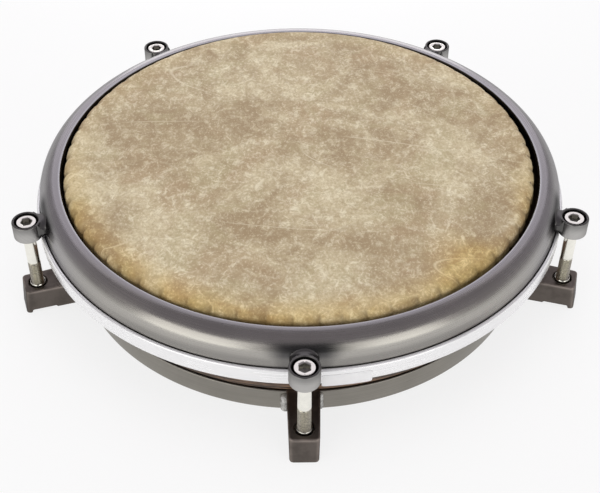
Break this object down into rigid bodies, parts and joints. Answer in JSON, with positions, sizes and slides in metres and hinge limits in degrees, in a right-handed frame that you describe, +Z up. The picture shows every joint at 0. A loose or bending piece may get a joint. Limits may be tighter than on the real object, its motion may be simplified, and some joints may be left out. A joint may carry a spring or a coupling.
{
  "type": "conga",
  "caption": "Shallow conga: a tuned film head pulled over a wooden ring by a quarter-round metal rim and socket-head tension rods, on a low banded frame with lug feet.",
  "frame": {"origin": "centre of the head's playing face", "axes": "+Z up out of the playing face along the drum's axis, -Y towards lug 1"},
  "size_m": [0.3612, 0.3577, 0.0767],
  "materials": {
    "film": "mottled satin film",
    "gunmetal": "satin dark plating",
    "hoop_metal": "bright, fine drawn lines",
    "resin": "cast, dull",
    "rod_nickel": "bright nickel",
    "washer": "dull",
    "shell_wood": "oiled, fine grain",
    "band_steel": "satin, fine turned lines",
    "bracket_steel": "satin dark grey"
  },
  "bodies": {
    "frame": {"support_band": "band_steel", "shell_ring": "shell_wood", "head_film": "film", "head_collar": "film", "lug_bracket_1": "bracket_steel", "lug_bracket_2": "bracket_steel", "lug_bracket_3": "bracket_steel", "lug_bracket_4": "bracket_steel", "lug_bracket_5": "bracket_steel", "lug_nut_1": "rod_nickel", "lug_nut_2": "rod_nickel", "lug_nut_3": "rod_nickel", "lug_nut_4": "rod_nickel", "lug_nut_5": "rod_nickel"},
    "rim": {"rim": "gunmetal", "flesh_hoop": "hoop_metal", "hoop_resin": "resin", "rim_ear_1": "gunmetal", "rim_ear_2": "gunmetal", "rim_ear_3": "gunmetal", "rim_ear_4": "gunmetal", "rim_ear_5": "gunmetal", "rod_washer_1": "washer", "rod_washer_2": "washer", "rod_washer_3": "washer", "rod_washer_4": "washer", "rod_washer_5": "washer"},
    "rod_1": {"tension_rod_1": "rod_nickel"},
    "rod_2": {"tension_rod_2": "rod_nickel"},
    "rod_3": {"tension_rod_3": "rod_nickel"},
    "rod_4": {"tension_rod_4": "rod_nickel"},
    "rod_5": {"tension_rod_5": "rod_nickel"}
  },
  "joints": [
    {"name": "rim_travel", "type": "slide", "parent": "frame", "child": "rim", "axis": [0, 0, 1], "range_m": [-0.005, 0.004], "deforming": ["head_collar"]},
    {"name": "rod_turn_1", "type": "hinge", "parent": "rim", "child": "rod_1", "pos_m": [0, -0.17697, -0.0088], "axis": [0, 0, 1], "range_deg": [-1280, 1025]},
    {"name": "rod_turn_2", "type": "hinge", "parent": "rim", "child": "rod_2", "pos_m": [0.16831, -0.05469, -0.0088], "axis": [0, 0, 1], "range_deg": [-1280, 1025]},
    {"name": "rod_turn_3", "type": "hinge", "parent": "rim", "child": "rod_3", "pos_m": [0.10402, 0.14317, -0.0088], "axis": [0, 0, 1], "range_deg": [-1280, 1025]},
    {"name": "rod_turn_4", "type": "hinge", "parent": "rim", "child": "rod_4", "pos_m": [-0.10402, 0.14317, -0.0088], "axis": [0, 0, 1], "range_deg": [-1280, 1025]},
    {"name": "rod_turn_5", "type": "hinge", "parent": "rim", "child": "rod_5", "pos_m": [-0.16831, -0.05469, -0.0088], "axis": [0, 0, 1], "range_deg": [-1280, 1025]}
  ],
  "couplings": [
    {"joint": "rod_turn_1", "follows": "rim_travel", "rad_per_m": 4452.6},
    {"joint": "rod_turn_2", "follows": "rim_travel", "rad_per_m": 4452.6},
    {"joint": "rod_turn_3", "follows": "rim_travel", "rad_per_m": 4452.6},
    {"joint": "rod_turn_4", "follows": "rim_travel", "rad_per_m": 4452.6},
    {"joint": "rod_turn_5", "follows": "rim_travel", "rad_per_m": 4452.6}
  ]
}
